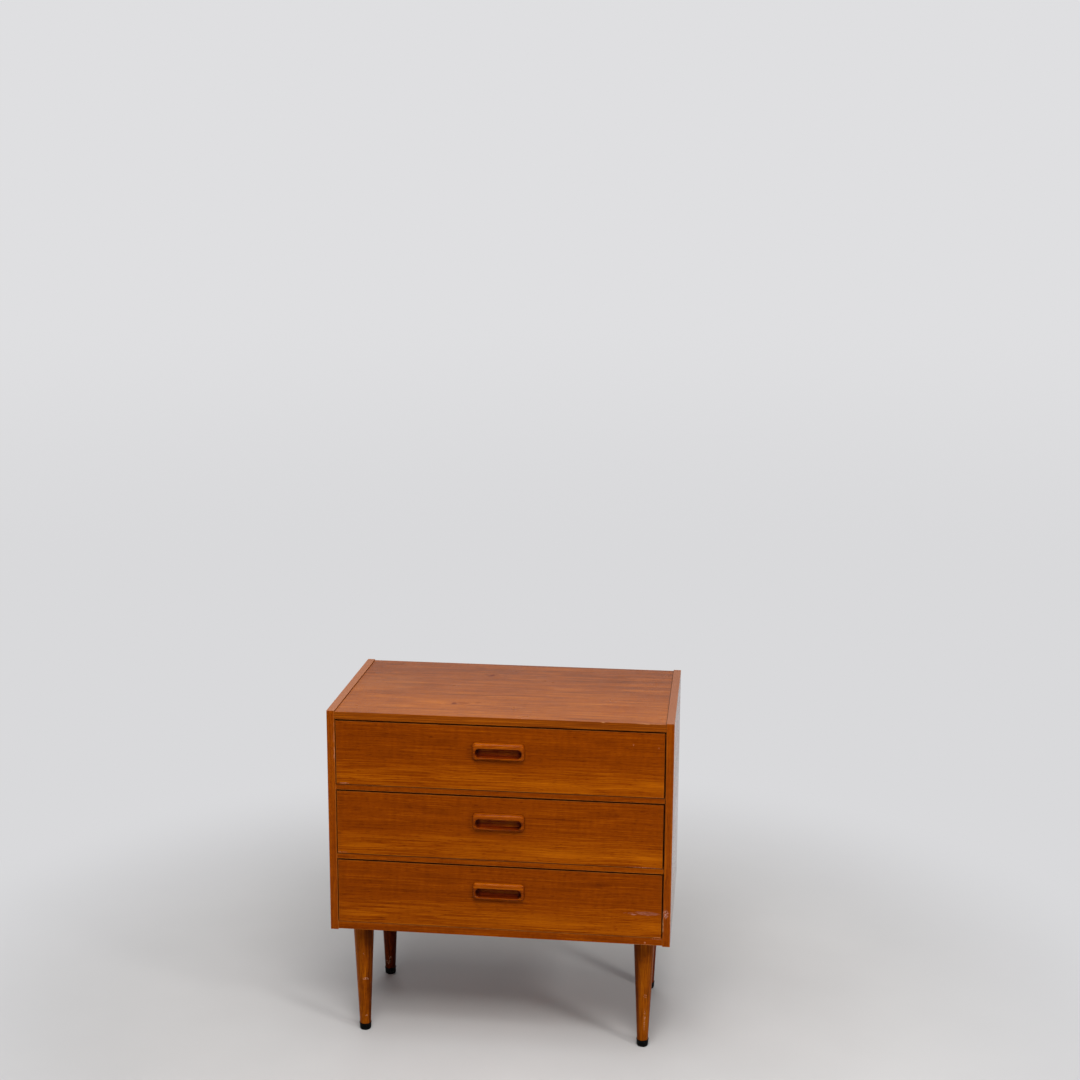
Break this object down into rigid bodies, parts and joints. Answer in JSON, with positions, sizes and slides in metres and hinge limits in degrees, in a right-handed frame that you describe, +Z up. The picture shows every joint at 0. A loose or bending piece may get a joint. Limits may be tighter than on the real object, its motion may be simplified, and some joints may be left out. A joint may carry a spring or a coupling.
{
  "type": "chiffonier",
  "caption": "Low teak chiffonier with stacked flush drawers, let-in oblong finger pulls and round tapered legs on black glides.",
  "frame": {"origin": "on the floor, under the middle of the whole outline, pulls included", "axes": "+Z up, +X to the right of someone who stands before the drawers, the drawers open towards -Y"},
  "size_m": [0.7, 0.3978, 0.7225],
  "materials": {
    "teak_veneer": "oiled teak veneer, satin",
    "teak_front": "oiled teak veneer, satin, level grain",
    "teak_rail": "oiled teak lipping, satin",
    "teak_solid": "oiled solid teak, satin",
    "birch": "planed birch, bare",
    "beech": "planed beech, bare",
    "ply": "thin plywood, bare",
    "steel": "dull steel",
    "black_plastic": "moulded, worn"
  },
  "bodies": {
    "carcass": {"left_side": "teak_veneer", "right_side": "teak_veneer", "top_panel": "teak_veneer", "bottom_panel": "teak_veneer", "back_panel": "ply", "upper_rail": "teak_rail", "lower_rail": "teak_rail", "upper_left_runner": "beech", "upper_right_runner": "beech", "lower_left_runner": "beech", "lower_right_runner": "beech", "drawer_stops": "beech", "panel_dowels": "beech", "rail_dowels": "beech", "back_panel_nails": "steel", "runner_screws": "steel", "front_left_leg": "teak_solid", "front_left_leg_plate": "steel", "front_left_glide": "black_plastic", "front_right_leg": "teak_solid", "front_right_leg_plate": "steel", "front_right_glide": "black_plastic", "rear_left_leg": "teak_solid", "rear_left_leg_plate": "steel", "rear_left_glide": "black_plastic", "rear_right_leg": "teak_solid", "rear_right_leg_plate": "steel", "rear_right_glide": "black_plastic", "leg_bolts": "steel", "leg_plate_screws": "steel", "glide_nails": "steel"},
    "top_drawer": {"top_drawer_front": "teak_front", "top_drawer_left_side": "birch", "top_drawer_right_side": "birch", "top_drawer_back": "birch", "top_drawer_bottom": "ply", "top_drawer_pull": "teak_solid", "top_drawer_pins": "steel"},
    "middle_drawer": {"middle_drawer_front": "teak_front", "middle_drawer_left_side": "birch", "middle_drawer_right_side": "birch", "middle_drawer_back": "birch", "middle_drawer_bottom": "ply", "middle_drawer_pull": "teak_solid", "middle_drawer_pins": "steel"},
    "bottom_drawer": {"bottom_drawer_front": "teak_front", "bottom_drawer_left_side": "birch", "bottom_drawer_right_side": "birch", "bottom_drawer_back": "birch", "bottom_drawer_bottom": "ply", "bottom_drawer_pull": "teak_solid", "bottom_drawer_pins": "steel"}
  },
  "joints": [
    {"name": "top_drawer_slide", "type": "slide", "parent": "carcass", "child": "top_drawer", "axis": [0, -1, 0], "range_m": [0, 0.3]},
    {"name": "middle_drawer_slide", "type": "slide", "parent": "carcass", "child": "middle_drawer", "axis": [0, -1, 0], "range_m": [0, 0.3]},
    {"name": "bottom_drawer_slide", "type": "slide", "parent": "carcass", "child": "bottom_drawer", "axis": [0, -1, 0], "range_m": [0, 0.3]}
  ]
}
